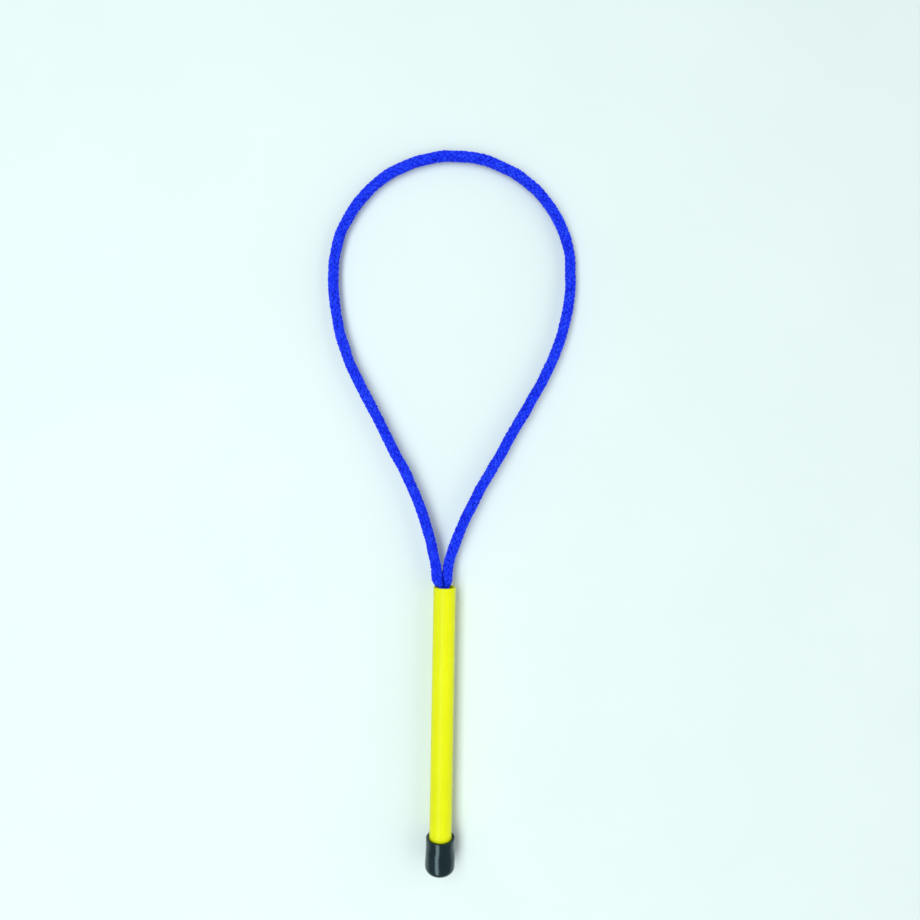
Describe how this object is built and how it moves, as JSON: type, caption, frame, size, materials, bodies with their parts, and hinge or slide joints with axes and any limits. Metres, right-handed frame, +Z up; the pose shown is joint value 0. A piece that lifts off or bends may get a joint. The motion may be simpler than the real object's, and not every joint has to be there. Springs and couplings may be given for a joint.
{
  "type": "bubble wand",
  "caption": "Teardrop loop of wire-cored braided cord on a straight tube handle with a push-on end cap, dipped in soap solution and waved to make bubbles.",
  "frame": {"origin": "on the surface that the wand lies on, below the middle of its box", "axes": "+Y along the handle towards the loop, +X across the loop, +Z up off the surface"},
  "size_m": [0.1132, 0.3266, 0.0135],
  "materials": {
    "tube": "smooth lemon yellow extruded tube",
    "cap": "glossy black dip-moulded vinyl",
    "cord": "royal blue tubular braid",
    "wire": "galvanised wire",
    "glue": "set hot glue"
  },
  "bodies": {
    "wand": {"handle_tube": "tube", "loop_cord": "cord", "core_wire": "wire", "glue_plug": "glue"},
    "cap": {"end_cap": "cap"}
  },
  "joints": [
    {"name": "cap_pull", "type": "slide", "parent": "wand", "child": "cap", "axis": [0, -1, 0], "range_m": [0, 0.02]}
  ]
}
